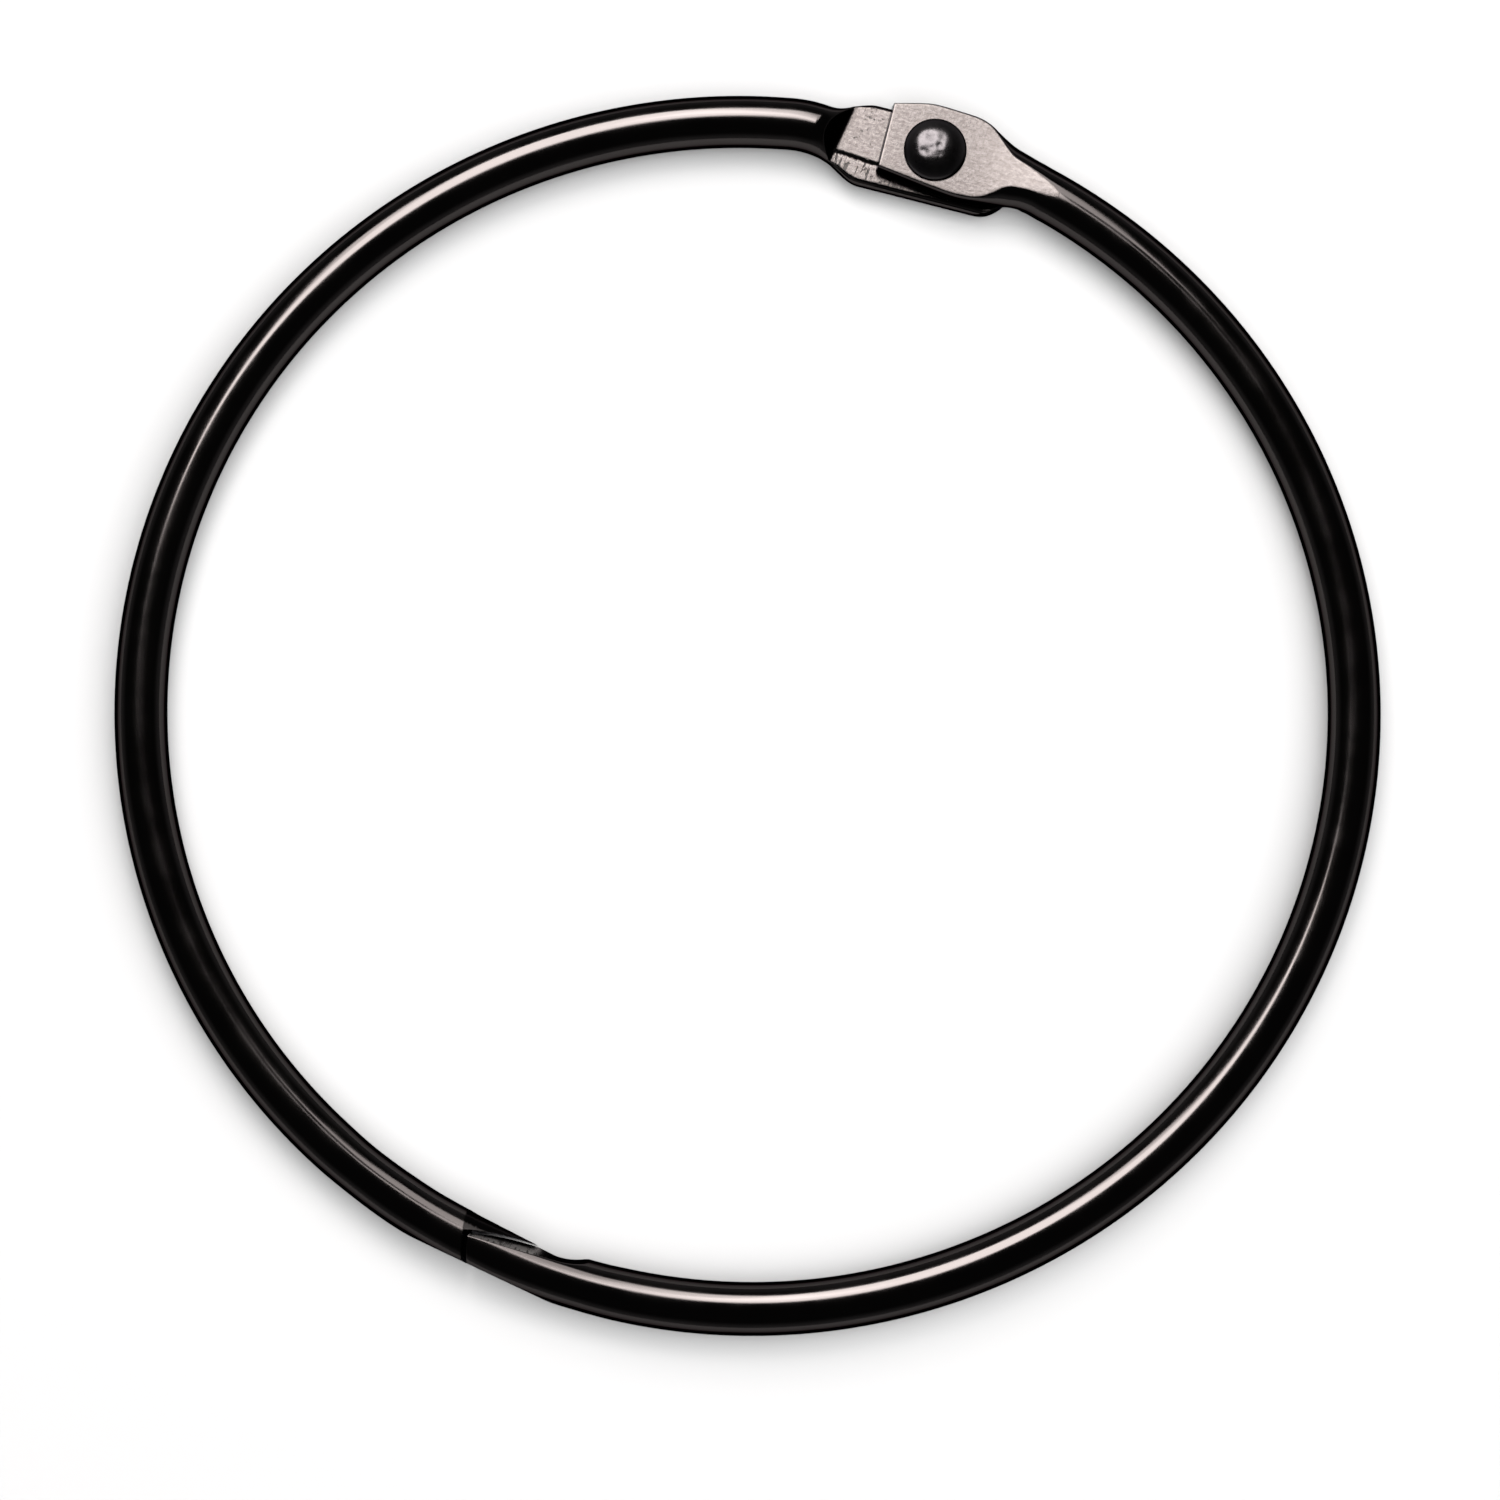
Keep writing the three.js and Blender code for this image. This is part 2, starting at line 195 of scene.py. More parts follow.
# ---- sections ----------------------------------------------------------------------------------
class Section:
    """One convex section: where its plane is, the bar's outline, and the edges that cut it.

    Points in it are (n, z): n outward across the ring, z up out of the tab's lap face. An edge
    (a, b, c, finish) keeps the side where a * n + b * z <= c, and finish says how its face was
    finished. Painted shade blackens a section's colour all round, where its faces lie in shade.
    Leaning sections move along the ring by `lean` for each mm of n and by `tip` for each mm of z.
    """

    def __init__(self, place, out, up, along, lean=0.0, tip=0.0):
        self.place, self.out, self.up, self.along = place, out, up, along
        self.lean, self.tip = lean, tip
        self.inner = self.outer = self.height = WIRE_RADIUS   # from the bar's middle line
        self.middle = 0.0             # z of that line
        self.power = 2.0              # 2 is round, and more is squarer
        self.edges = []
        self.inside = (0.0, 0.0)      # a point from which the outline is traced
        self.inset = 0.0              # how far the outline is drawn in, at a rounded end
        self.ledge = None             # n of the ledge's edge, if the section has one
        self.anchor = None            # n inward of which half of the mesh points lie
        self.anchored = 0.0           # how strictly they do, from 0 to 1
        self.painted_shade = 0.0            # painted shade, from 0 to 1: how far the colour is darkened to black

    def reach(self):
        """Where the outline is in each direction from the inside point, and which edge is met."""
        turn = np.linspace(0, 2 * math.pi, DIRECTIONS, endpoint=False)
        c, s = np.cos(turn), np.sin(turn)
        n0, z0 = self.inside
        low, high = np.zeros(DIRECTIONS), np.full(DIRECTIONS, SECTION_REACH)
        for _ in range(HALVINGS):
            mid = (low + high) / 2
            n = n0 + mid * c
            z = z0 + mid * s - self.middle
            width = np.where(n > 0, self.outer, self.inner) - self.inset
            height = self.height - self.inset
            within = (np.abs(n) / width) ** self.power + (np.abs(z) / height) ** self.power < 1
            low, high = np.where(within, mid, low), np.where(within, high, mid)
        reaches = [low]
        for a, b, limit, _ in self.edges:
            speed = a * c + b * s
            room = limit - self.inset * math.hypot(a, b) - a * n0 - b * z0
            reaches.append(np.where(speed > 1e-6, room / np.maximum(speed, 1e-6), 1e3))
        reaches = np.array(reaches)
        nearest = reaches.min(axis=0)
        rounded = nearest * ((nearest / reaches) ** CORNER_POWER).sum(axis=0) ** (-1 / CORNER_POWER)
        return n0 + rounded * c, z0 + rounded * s, reaches.argmin(axis=0)

    def outline(self):
        """POINTS_ROUND points of the outline, closer where it turns, and the finish at each."""
        n, z, edge = self.reach()
        dn, dz = np.roll(n, -1) - n, np.roll(z, -1) - z
        heading = np.unwrap(np.arctan2(dz, dn))
        turned = np.abs(np.append(np.diff(heading), heading[0] + 2 * math.pi - heading[-1]))
        share = np.hypot(dn, dz) + CORNER_SHARE * (turned + np.roll(turned, 1)) / 2
        total = np.concatenate(([0], np.cumsum(share)))
        wanted = np.linspace(0, total[-1], POINTS_ROUND, endpoint=False)
        if self.anchor is not None:
            inward = np.flatnonzero(n < self.anchor - ANCHOR_SLACK)
            stops = (0, total[inward[0]], total[inward[-1] + 1], total[-1])
            shares = (0, POINTS_ROUND / 4, POINTS_ROUND * 3 / 4, POINTS_ROUND)
            wanted = mix(wanted, np.interp(np.arange(POINTS_ROUND), shares, stops), self.anchored)
        n = np.interp(wanted, total, np.append(n, n[0]))
        z = np.interp(wanted, total, np.append(z, z[0]))
        edge = edge[np.searchsorted(total, wanted, side="right").clip(1, DIRECTIONS) - 1]
        finish = np.array([0.0] + [cut[3] for cut in self.edges])[edge]
        if self.ledge is not None:
            inward = self.ledge - n
            step = np.clip(inward / LEDGE_EDGE + 0.5, 0, 1)
            groove = LEDGE_GROOVE * np.exp(-(inward / LEDGE_EDGE) ** 2)
            z = z + np.where(z < HALF_LAP_GAP + NEAR_LAP, LEDGE_DEPTH * step + groove, 0)
            finish = np.where((finish == LAPPED) & (inward > 0), SCORED, finish)
        return n, z, finish

    def points(self):
        """The outline's points in the ring's frame, and the finish at each."""
        n, z, finish = self.outline()
        across = np.outer(n, self.out + self.lean * self.along)
        return self.place + across + np.outer(z, self.up + self.tip * self.along), finish


# ---- the bar along its length ------------------------------------------------------------------
def centre_line(half, angle):
    """Point and heading of a half's centre line, in its hinge frame: rivet axis at the origin, x
    along the tab towards the wire, y outward. The angle is measured at the arc's centre, from the
    hinge."""
    def point(a):
        x = half["arc_centre"][0] + half["arc_radius"] * math.sin(a)
        y_arc = half["arc_centre"][1] - RIVET_FROM_CENTRE + half["arc_radius"] * math.cos(a)
        y_tab = half["tab_centre"] + half["tab_slope"] * x
        bent = smooth(x, *half["bend"]) if math.cos(a) > 0 else 1
        return np.array((x, mix(y_tab, y_arc, bent)))
    heading = point(angle + 1e-4) - point(angle - 1e-4)
    return point(angle), heading / np.linalg.norm(heading)


def place_section(half, point, heading, lean=0.0):
    """A section at a point of a hinge frame, in the ring's frame. The left half is turned over."""
    side = half["side"]
    place = np.array((side * point[0], point[1] + RIVET_FROM_CENTRE, 0))
    along = np.array((side * heading[0], heading[1], 0))
    out = np.array((-side * heading[1], heading[0], 0))
    return Section(place, out, np.array((0, 0, side)), along, lean)


def lean_for(heading, skew):
    """Lean that makes a section's line run `skew` mm in x for each mm in y of the hinge frame."""
    return (skew * heading[0] + heading[1]) / (heading[0] - skew * heading[1])


def give_bar(section, half, x):
    """The bar's own outline at x: wide and square in the tab, round in the wire."""
    def width(side, at):
        corner_from, corner_slope = half[side + "_corner"]
        cut = corner_slope * climb(corner_from - at, CORNER_FILLET)
        return mix(half[side + "_width"], WIRE_RADIUS, smooth(at, *half[side + "_taper"])) - cut
    rounding = smooth(x, *half["rounding"])
    section.inner = width("inner", x - section.lean * half["inner_width"])
    section.outer = width("outer", x + section.lean * half["outer_width"])
    section.height = mix(TAB_BARREL_HEIGHT, WIRE_RADIUS, rounding)
    section.middle = mix(TAB_THICKNESS / 2, 0, rounding)
    section.power = mix(half["squareness"], 2, rounding)


def give_tab_faces(section, half, x, from_shoulder):
    """The outer die's face above and the lap face below, with its ramp down at the shoulder."""
    rise = climb(x - DIE_LEVEL_TO, DIE_FILLET) - climb(-DIE_LEVEL_TO, DIE_FILLET)
    die = TAB_THICKNESS + DIE_CLIMB * rise
    lap = HALF_LAP_GAP - SHOULDER_FALL * climb(from_shoulder, SHOULDER_FILLET)
    section.edges += [(0, 1, die, PRESSED), (0, -1, -lap, LAPPED if from_shoulder < 0 else 0)]
    top = min(die, section.middle + section.height)
    bottom = max(lap, section.middle - section.height)
    section.inside = (0, (top + bottom) / 2)
    if half["side"] < 0 and from_shoulder < LEDGE_STOPS:
        section.ledge = LEDGE_FROM - (section.place[1] - RIVET_FROM_CENTRE)


def tab_skew(x):
    """How sections lie: with the tab's shear-cut end first, then with the shoulder, then square."""
    skew = mix(UPPER_TAB_END_LEAN, SHOULDER_LEAN, smooth(x, *SKEW_TURNS))
    return mix(skew, 0, squared(x))


def squared(x):
    """From 0 at the shoulder to 1 where the plain wire starts."""
    return smooth(x, SHOULDER_ZONE[1], WIRE_STARTS)


def tab_section(half, x):
    """Section where the half's centre line is about x from the rivet."""
    angle = math.asin((x - half["arc_centre"][0]) / half["arc_radius"])
    point, heading = centre_line(half, angle)
    lean = mix(lean_for(heading, tab_skew(x)), 0, squared(x))
    section = place_section(half, point, heading, lean)
    if half["side"] > 0:
        section.tip = UPPER_TAB_END_TIP * (1 - smooth(x, -UPPER_TAB_END, 0))
    give_bar(section, half, min(x, PLAIN_WIRE_FROM))
    across = math.hypot(1, SHOULDER_LEAN)
    from_shoulder = (point[0] - SHOULDER_LEAN * point[1]) / across - SHOULDER
    if x < FACES_END:
        give_tab_faces(section, half, x, from_shoulder)
    return section


def limit_width(section, low, high):
    """Keeps low <= n <= high."""
    section.edges += [(1, 0, high, 0), (-1, 0, -low, 0)]


def upper_tab_end(half):
    """Stations round the edge of the shear-cut end, from its face to the tab's own section."""
    sections = []
    start = -UPPER_TAB_END + UPPER_TAB_END_LEAN * half["tab_centre"]
    start -= TAB_THICKNESS * UPPER_TAB_END_TIP
    for step in range(ROUNDING_STEPS + 1):
        turn = step / ROUNDING_STEPS * math.pi / 2
        section = tab_section(half, start + END_FILLET * (1 - math.cos(turn)))
        section.inset = END_FILLET * (1 - math.sin(turn))
        # painted shade: black on the end face, fading out round its edge
        section.painted_shade = 1 - step / ROUNDING_STEPS
        sections.append(section)
    return sections, start + END_FILLET


def lower_tab_end(half):
    """Stations round the half-round end: each keeps the width that the circle has there."""
    centre_x, centre_y = LOWER_TAB_END_CENTRE
    sections = []
    for step in range(HALF_ROUND_STEPS + 1):
        share = (step / HALF_ROUND_STEPS) ** HALF_ROUND_POWER
        turn = math.radians(mix(HALF_ROUND_FROM, 0, share))
        x = centre_x - LOWER_TAB_END_RADIUS * math.sin(turn)
        section = tab_section(half, x)
        y = section.place[1] - RIVET_FROM_CENTRE
        reach = LOWER_TAB_END_RADIUS * math.cos(turn)
        limit_width(section, centre_y - reach - y, centre_y + reach - y)
        section.inside = (centre_y - y, section.inside[1])
        sections.append(section)
    return sections, centre_x


# ---- clasp -------------------------------------------------------------------------------------
CLASP_ORIGIN = CLASP_RADIUS * np.array((math.cos(CLASP_ANGLE), math.sin(CLASP_ANGLE)))
CLASP_X = np.array((-math.sin(CLASP_ANGLE), math.cos(CLASP_ANGLE)))
CLASP_Y = -CLASP_ORIGIN / CLASP_RADIUS


def clasp_section(half, x):
    """Section where the half's centre line passes x in the clasp frame, and its y there."""
    side = half["side"]
    arc_centre = np.array((side * half["arc_centre"][0], half["arc_centre"][1]))
    from_arc = arc_centre - CLASP_ORIGIN
    across = x - from_arc @ CLASP_X
    y = from_arc @ CLASP_Y - math.sqrt(half["arc_radius"] ** 2 - across ** 2)
    place = CLASP_ORIGIN + x * CLASP_X + y * CLASP_Y
    radial = (place - arc_centre) / half["arc_radius"]
    out = mix(-CLASP_Y, radial, smooth(abs(x), *CLASP_ZONE))
    out /= np.linalg.norm(out)
    along = side * np.array((out[1], -out[0]))
    near = 1 - smooth(abs(x), *SEAM_ZONE)
    place, out, along = (np.append(v, 0) for v in (place, out, along))
    up = np.array((0, 0, side))
    return Section(place, out, up, along, -side * SEAM_LEAN * near, SEAM_TIP * near), y


def depth_on(curve, x, y, lean_x):
    """y where a leaning section through (x, y) meets a curve given as points of the clasp frame."""
    return float(np.interp(x, curve[:, 0] - lean_x * (y - curve[:, 1]), curve[:, 1]))


def curve_through(*pieces):
    """Points along straight runs (two points) and quadratic curves (three), one after another."""
    t = np.linspace(0, 1, CURVE_POINTS)[:, None]
    points = []
    for piece in pieces:
        controls = [np.array(point, float) for point in piece]
        while len(controls) > 1:
            controls = [mix(a, b, t) for a, b in zip(controls, controls[1:])]
        points.append(controls[0])
    return np.concatenate(points)


def seam_x(y, side):
    """x of the seam's face at y: the left half's (side -1) or the right half's (side 1)."""
    return -SEAM_LEAN * y + side * SEAM_GAP / 2


# The cuts of the clasp, seen from above. The right half's side of the split is TONGUE_GAP further out.
JOIN = 0.001                     # keeps x rising from one run of a curve to the next
CLEAR_OF_WIRE = 1.2
INNER_FLAT_FROM = -3 * FLAT_RUN_IN
ROOT = SPLIT_START - TONGUE_GAP
FLAT_Y = INNER_FLAT - TONGUE_GAP
WIRE_INSIDE = WIRE_RADIUS + RECESS_END ** 2 / (2 * CLASP_RADIUS)   # y of the wire's inner side
OUTER_DRESSING = curve_through(
    [(-FAR, -OUTER_FLAT - FAR * OUTER_FLAT_SLOPE), (FAR, -OUTER_FLAT + FAR * OUTER_FLAT_SLOPE)],
)
INNER_DRESSING = curve_through(
    [(INNER_FLAT_FROM, WIRE_RADIUS + CLEAR_OF_WIRE), (-FLAT_RUN_IN, WIRE_RADIUS)],
    [(-FLAT_RUN_IN + JOIN, WIRE_RADIUS), (0, INNER_FLAT)],
    [(JOIN, INNER_FLAT), (FAR, INNER_FLAT)],
)
LEFT_SPLIT = curve_through(
    [(seam_x(SPLIT_START, -1), SPLIT_START), SPLIT_BEND, (TONGUE_LENGTH, INNER_FLAT)],
)
RIGHT_SPLIT = curve_through(
    [(seam_x(ROOT, 1), ROOT), (SPLIT_BEND[0], SPLIT_BEND[1] - TONGUE_GAP), (TONGUE_LENGTH, FLAT_Y)],
    [(TONGUE_LENGTH + JOIN, FLAT_Y), (RECESS_LENGTH, FLAT_Y)],
    [(RECESS_LENGTH + JOIN, FLAT_Y), (RECESS_LENGTH + RECESS_RUN_OUT / 2, FLAT_Y),
     (RECESS_END, WIRE_INSIDE)],
)
FACET_BASE = FACET_START + FACET_LEAN * FACET_TOP_Z
FACET_EDGE = curve_through(
    [(-1, FACET_BASE - FACET_SLOPE), (FACET_LENGTH, FACET_BASE + FACET_SLOPE * FACET_LENGTH)],
    [(FACET_LENGTH + JOIN, FACET_BASE + FACET_SLOPE * FACET_LENGTH),
     (FACET_LENGTH + 1, FACET_BASE + FACET_SLOPE * (FACET_LENGTH + 1)),
     (RECESS_END, WIRE_INSIDE)],
)


def dress(section, x, y):
    """The light flat on the outside of both halves. Returns how far the section leans in x."""
    lean_x = -section.lean if section.along @ np.append(CLASP_X, 0) < 0 else section.lean
    if abs(x) < DRESSED_TO:
        section.edges.append((1, 0, y - depth_on(OUTER_DRESSING, x, y, lean_x), 0))
    return lean_x


def left_clasp_section(half, x, split):
    """Section of the left half; a split one is of its tongue only."""
    section, y = clasp_section(half, x)
    lean_x = dress(section, x, y)
    inner = depth_on(INNER_DRESSING, x, y, lean_x)
    depth = depth_on(LEFT_SPLIT, x, y, lean_x)
    if x > INNER_FLAT_FROM:
        section.edges.append((-1, 0, inner - y, 0))
    if split:
        section.edges.append((1, 0, y - depth, 0))
        section.inside = (y - (depth + inner) / 2, 0)
    if x > ANCHOR_ZONE[0]:
        section.anchor = y - depth
        section.anchored = smooth(x, *ANCHOR_ZONE)
    return section


def right_clasp_section(half, x):
    section, y = clasp_section(half, x)
    lean_x = dress(section, x, y)
    if x < RECESS_END:
        split = depth_on(RIGHT_SPLIT, x, y, lean_x)
        facet = depth_on(FACET_EDGE, x, y, lean_x)
        across = -(1 + FACET_SLOPE * lean_x)
        section.edges.append((-1, 0, split - y, 0))
        finish = mix(GROUND, SCORED, smooth(x, *GROUND_FADES)) if x < GROUND_FADES[1] else 0
        section.edges.append((across, FACET_LEAN, across * (y - facet), finish))
        section.inside = (y + (OUTER_FLAT - min(split, facet - FACET_ROOM)) / 2, 0)
    return section


# ---- lofting -----------------------------------------------------------------------------------
def spaced(start, stop, step):
    """Evenly spaced values from start to just before stop, about a step apart."""
    count = max(1, round(abs(stop - start) / step))
    return [mix(start, stop, i / count) for i in range(count)]


def hinge_stations(half, x):
    """Tab, shoulder and the first of the wire: closer together where the shape changes faster."""
    foot, top = SHOULDER_ZONE
    runs = [(x, foot, TAB_STEP), (foot, top, SHOULDER_STEP), (top, WIRE_STARTS, BEND_STEP)]
    return [tab_section(half, x) for run in runs for x in spaced(*run)]


def wire_stations(half):
    """Plain wire, from the hinge's zone to the clasp's."""
    side = half["side"]
    section, _ = clasp_section(half, side * CLASP_ZONE[1])
    last = section.place[:2] - (side * half["arc_centre"][0], half["arc_centre"][1])
    stop = math.atan2(side * last[0], last[1]) % (2 * math.pi)
    start = math.asin((WIRE_STARTS - half["arc_centre"][0]) / half["arc_radius"])
    angles = spaced(start, stop, WIRE_STEP / half["arc_radius"])
    return [place_section(half, *centre_line(half, angle)) for angle in angles]


def seam_station(half):
    """x of the centre line where a section lies in the half's side of the seam."""
    x = 0
    for _ in range(4):
        _, y = clasp_section(half, x)
        x = seam_x(y, half["side"])
    return x


def right_stations():
    """Sections of the whole right half, from its tab's end to its side of the seam."""
    ending, tab_from = upper_tab_end(RIGHT)
    seam = seam_station(RIGHT)
    places = spaced(CLASP_ZONE[1], seam + SEAM_FILLET, CLASP_STEP)
    clasp = [right_clasp_section(RIGHT, x) for x in places]
    for step in range(ROUNDING_STEPS + 1):
        turn = step / ROUNDING_STEPS * math.pi / 2
        section = right_clasp_section(RIGHT, seam + SEAM_FILLET * (1 - math.sin(turn)))
        section.inset = SEAM_FILLET * (1 - math.cos(turn))
        # painted shade: black on the seam's face, fading out round its edge
        section.painted_shade = step / ROUNDING_STEPS
        clasp.append(section)
    return ending + hinge_stations(RIGHT, tab_from)[1:] + wire_stations(RIGHT) + clasp


def left_stations():
    """Sections of the whole left half, from its tab's end to the tip of its tongue."""
    ending, tab_from = lower_tab_end(LEFT)
    seam = seam_station(LEFT)
    before = [left_clasp_section(LEFT, x, False) for x in spaced(-CLASP_ZONE[1], seam, CLASP_STEP)]
    before.append(left_clasp_section(LEFT, seam, False))
    # painted shade: the left half's face at the seam is black
    before[-1].painted_shade = 1
    tongue = [left_clasp_section(LEFT, x, True) for x in spaced(seam, TONGUE_SHOWN, CLASP_STEP)]
    # painted shade on the inner tongue, which lies turned away from the light
    for section in tongue:
        section.painted_shade = TONGUE_PAINTED_SHADE
    return ending + hinge_stations(LEFT, tab_from)[1:] + wire_stations(LEFT) + before + tongue


def strips(rings, n):
    """Faces between each ring of n points and the next."""
    faces = []
    for ring in range(rings - 1):
        for j in range(n):
            a, b = ring * n + j, ring * n + (j + 1) % n
            faces.append((a, b, b + n, a + n))
    return faces


def loft(name, sections):
    """A closed skin over the sections, capped flat at both ends."""
    rings = [section.points() for section in sections]
    verts = np.concatenate([points for points, _ in rings])
    finish = np.concatenate([finish for _, finish in rings])
    # how much painted shade each point has
    painted_shade = np.repeat([section.painted_shade for section in sections], POINTS_ROUND)
    faces = strips(len(rings), POINTS_ROUND)
    last = (len(rings) - 1) * POINTS_ROUND
    middles = [verts[:POINTS_ROUND].mean(axis=0), verts[last:].mean(axis=0)]
    for j in range(POINTS_ROUND):
        k = (j + 1) % POINTS_ROUND
        faces.append((k, j, len(verts)))
        faces.append((last + j, last + k, len(verts) + 1))
    verts = np.concatenate([verts, middles])
    looks = {
        "finish": np.append(finish, (0, 0)),
        "painted_shade": np.append(painted_shade, (sections[0].painted_shade, sections[-1].painted_shade)),
    }
    return make_object(name, verts, faces, looks)


def make_object(name, points, faces, looks=None):
    """A mesh object from points in the ring's frame, in mm, with values for its material."""
    mesh = bpy.data.meshes.new(name)
    mesh.from_pydata((CENTRE + points * MM).tolist(), [], faces)
    for look, values in (looks or {}).items():
        layer = mesh.attributes.new(look, "FLOAT", "POINT")
        layer.data.foreach_set("value", values.astype(np.float32))
    mesh.validate()
    obj = bpy.data.objects.new(name, mesh)
    bpy.context.scene.collection.objects.link(obj)
    return obj


def shade(obj, sharp_angle=40):
    obj.data.polygons.foreach_set("use_smooth", [True] * len(obj.data.polygons))
    obj.data.set_sharp_from_angle(angle=math.radians(sharp_angle))


def bore(obj, radius):
    """Cuts the rivet's hole through a tab."""
    turn = np.linspace(0, 2 * math.pi, BORE_SIDES, endpoint=False)
    circle = np.stack((radius * np.cos(turn), RIVET_FROM_CENTRE + radius * np.sin(turn)), axis=1)
    points = np.concatenate([np.insert(circle, 2, z, axis=1) for z in (-BORE_REACH, BORE_REACH)])
    n = BORE_SIDES
    faces = strips(2, n) + [tuple(range(n))[::-1], tuple(range(n, 2 * n))]
    drill = make_object("drill", points, faces)
    cut = obj.modifiers.new("bore", "BOOLEAN")
    cut.object = drill
    cut.operation = "DIFFERENCE"
    cut.solver = "EXACT"
    with bpy.context.temp_override(object=obj, active_object=obj):
        bpy.context.view_layer.update()
        bpy.ops.object.modifier_apply(modifier="bore")
    bpy.data.objects.remove(drill)


# ---- rivet -------------------------------------------------------------------------------------
def arc(centre, radius, start, stop, count):
    """Points (radius, z) of a rounded part of the rivet's profile. Angles are in degrees."""
    turn = np.radians(np.linspace(start, stop, count))
    return np.stack((centre[0] + radius * np.cos(turn), centre[1] + radius * np.sin(turn)), axis=1)


def rivet():
    """Turned about its axis: domed head above, peened tail below, and a struck spot on the head."""
    seat = TAB_THICKNESS + SEAT_GAP
    foot = -seat - TAIL_HEIGHT
    rim = seat + HEAD_RIM
    dome_centre = rim - math.sqrt(DOME_RADIUS ** 2 - HEAD_RADIUS ** 2)
    rim_angle = math.degrees(math.asin((rim - dome_centre) / DOME_RADIUS))
    profile = np.concatenate([
        [(TAIL_RADIUS * share, foot) for share in (0.3, 0.6)],
        arc((TAIL_RADIUS - TAIL_EDGE, foot + TAIL_EDGE), TAIL_EDGE, -90, 0, 14),
        arc((TAIL_RADIUS - SMALL_EDGE, -seat - SMALL_EDGE), SMALL_EDGE, 0, 90, 5),
        [(SHANK_RADIUS, -seat), (SHANK_RADIUS, seat)],
        arc((HEAD_RADIUS - SMALL_EDGE, seat + SMALL_EDGE), SMALL_EDGE, -90, 0, 5),
        arc((HEAD_RADIUS - HEAD_EDGE, rim - HEAD_EDGE), HEAD_EDGE, 0, rim_angle * 0.8, 8),
        arc((0, dome_centre), DOME_RADIUS, rim_angle + 3, DOME_TOP, 46),
    ])
    turns = np.linspace(0, 2 * math.pi, RIVET_SIDES, endpoint=False)
    circle = np.stack((np.cos(turns), np.sin(turns)), axis=1)
    rings = [np.insert(r * circle, 2, z, axis=1) for r, z in profile]
    points = np.concatenate(rings + [[(0, 0, foot), (0, 0, dome_centre + DOME_RADIUS)]])
    tilt = np.array(SPOT_OFFSET) / SPOT_DEPTH
    dents = np.array([dent(x, y) for x, y, _ in points])
    plane = dome_centre + SPOT_DEPTH * math.sqrt(1 + tilt @ tilt) - points[:, :2] @ tilt - dents
    soft = 0.5 * (points[:, 2] - plane + np.hypot(points[:, 2] - plane, SPOT_FILLET))
    on_dome = points[:, 2] > rim
    points[:, 2] -= np.where(on_dome, soft, 0)
    faces = strips(len(profile), RIVET_SIDES)
    last = (len(profile) - 1) * RIVET_SIDES
    for j in range(RIVET_SIDES):
        k = (j + 1) % RIVET_SIDES
        faces.append((k, j, len(points) - 2))
        faces.append((last + j, last + k, len(points) - 1))
    points[:, 1] += RIVET_FROM_CENTRE
    struck = np.where(on_dome, np.clip(soft / SPOT_FULL, 0, 1), 0)
    return make_object("peened_rivet", points, faces, {"struck": struck})


def dent(x, y):
    """Uneven depth of the struck spot: a few shallow dents under the plane that was struck."""
    depth = 0
    for cx, cy, size, deep in DENTS:
        depth += deep * math.exp(-((x - cx) ** 2 + (y - cy) ** 2) / size ** 2)
    return depth


# ---- materials ---------------------------------------------------------------------------------
class Nodes:
    """Short forms for making a material's nodes."""

    def __init__(self, name):
        self.material = bpy.data.materials.new(name)
        self.material.use_nodes = True
        self.tree = self.material.node_tree
        self.shader = self.tree.nodes["Principled BSDF"]

    def add(self, kind, inputs=(), **settings):
        node = self.tree.nodes.new(kind)
        for key, value in settings.items():
            setattr(node, key, value)
        for key, value in dict(inputs).items():
            self.feed(node.inputs[key], value)
        return node

    def feed(self, socket, value):
        if isinstance(value, bpy.types.NodeSocket):
            self.tree.links.new(value, socket)
        else:
            socket.default_value = value

    def noise(self, scale, detail=4.0, stretch=(1, 1, 1), roughness=0.5):
        """Noise in the object's own coordinates, scale in cycles per millimetre."""
        place = self.add("ShaderNodeTexCoord").outputs["Object"]
        factor = tuple(scale * 1000 * s for s in stretch)
        moved = self.add("ShaderNodeVectorMath", {0: place, 1: factor}, operation="MULTIPLY")
        inputs = {"Vector": moved.outputs[0], "Scale": 1.0, "Detail": detail, "Roughness": roughness}
        return self.add("ShaderNodeTexNoise", inputs).outputs["Fac"]

    def ramp(self, value, start, stop):
        """A smooth step between two stops (position, result), and level beyond them."""
        inputs = {0: value, 1: start[0], 2: stop[0], 3: start[1], 4: stop[1]}
        node = self.add("ShaderNodeMapRange", inputs, interpolation_type="SMOOTHSTEP")
        return node.outputs[0]

    def between(self, factor, low, high):
        """A number between low and high."""
        return self.add("ShaderNodeMix", {0: factor, 2: low, 3: high}).outputs[0]

    def math(self, operation, *values):
        return self.add("ShaderNodeMath", dict(enumerate(values)), operation=operation).outputs[0]

    def colours(self, factor, low, high):
        """A colour between low and high."""
        node = self.add("ShaderNodeMix", data_type="RGBA")
        self.feed(node.inputs["Factor"], factor)
        self.feed(node.inputs[6], low)
        self.feed(node.inputs[7], high)
        return node.outputs[2]

    def bump(self, height, distance, strength):
        """Normals of a surface that rises by `distance` mm where the height is 1."""
        inputs = {"Height": height, "Distance": distance * MM, "Strength": strength}
        return self.add("ShaderNodeBump", inputs).outputs["Normal"]


def rgb(r, g, b):
    return (r, g, b, 1)


